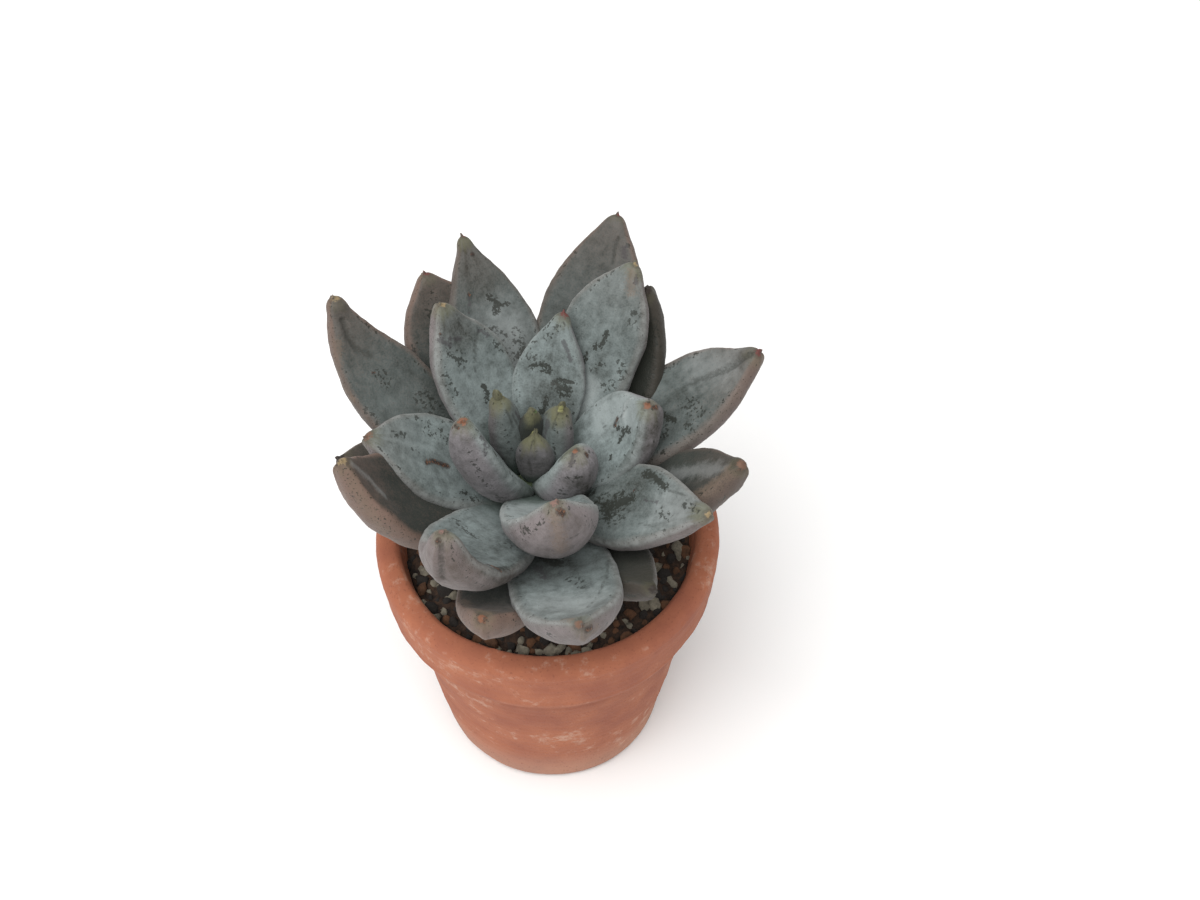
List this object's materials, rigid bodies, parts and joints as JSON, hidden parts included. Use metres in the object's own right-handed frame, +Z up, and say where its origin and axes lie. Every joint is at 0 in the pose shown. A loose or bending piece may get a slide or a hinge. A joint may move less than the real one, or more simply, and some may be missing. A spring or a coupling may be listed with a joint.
{
  "type": "potted rosette succulent",
  "caption": "Small rosette succulent with thick, pointed, boat-shaped grey-blue leaves on a short stem, growing in soil in a plain round clay pot.",
  "frame": {"origin": "centre of the pot's round foot, on the surface that it stands on", "axes": "+Z up along the pot's axis; +Y points away from where the picture was taken, +X to its right"},
  "size_m": [0.0447, 0.0522, 0.0597],
  "materials": {
    "leaf_bud": "fleshy green young leaf, thin wax bloom",
    "leaf_inner": "fleshy leaf under a pale blue-grey wax bloom, rubbed in places",
    "leaf_outer": "older fleshy leaf, dark grey-green to brown under thin wax bloom",
    "stem": "short corky stem with leaf scars, pale green at the crown",
    "soil": "loose dark potting soil with grit",
    "clay": "unglazed fired red clay, matt and slightly dusty"
  },
  "bodies": {
    "root": {"leaf_01": "leaf_bud", "leaf_02": "leaf_bud", "leaf_03": "leaf_bud", "leaf_04": "leaf_bud", "leaf_05": "leaf_inner", "leaf_06": "leaf_inner", "leaf_07": "leaf_inner", "leaf_08": "leaf_inner", "leaf_09": "leaf_inner", "leaf_10": "leaf_inner", "leaf_11": "leaf_inner", "leaf_12": "leaf_inner", "leaf_13": "leaf_inner", "leaf_14": "leaf_inner", "leaf_15": "leaf_inner", "leaf_16": "leaf_outer", "leaf_17": "leaf_outer", "leaf_18": "leaf_outer", "leaf_19": "leaf_outer", "leaf_20": "leaf_outer", "leaf_21": "leaf_outer", "leaf_22": "leaf_outer", "leaf_23": "leaf_outer", "leaf_24": "leaf_outer", "leaf_25": "leaf_outer", "leaf_26": "leaf_outer", "stem": "stem", "soil": "soil", "pot": "clay"}
  },
  "joints": []
}
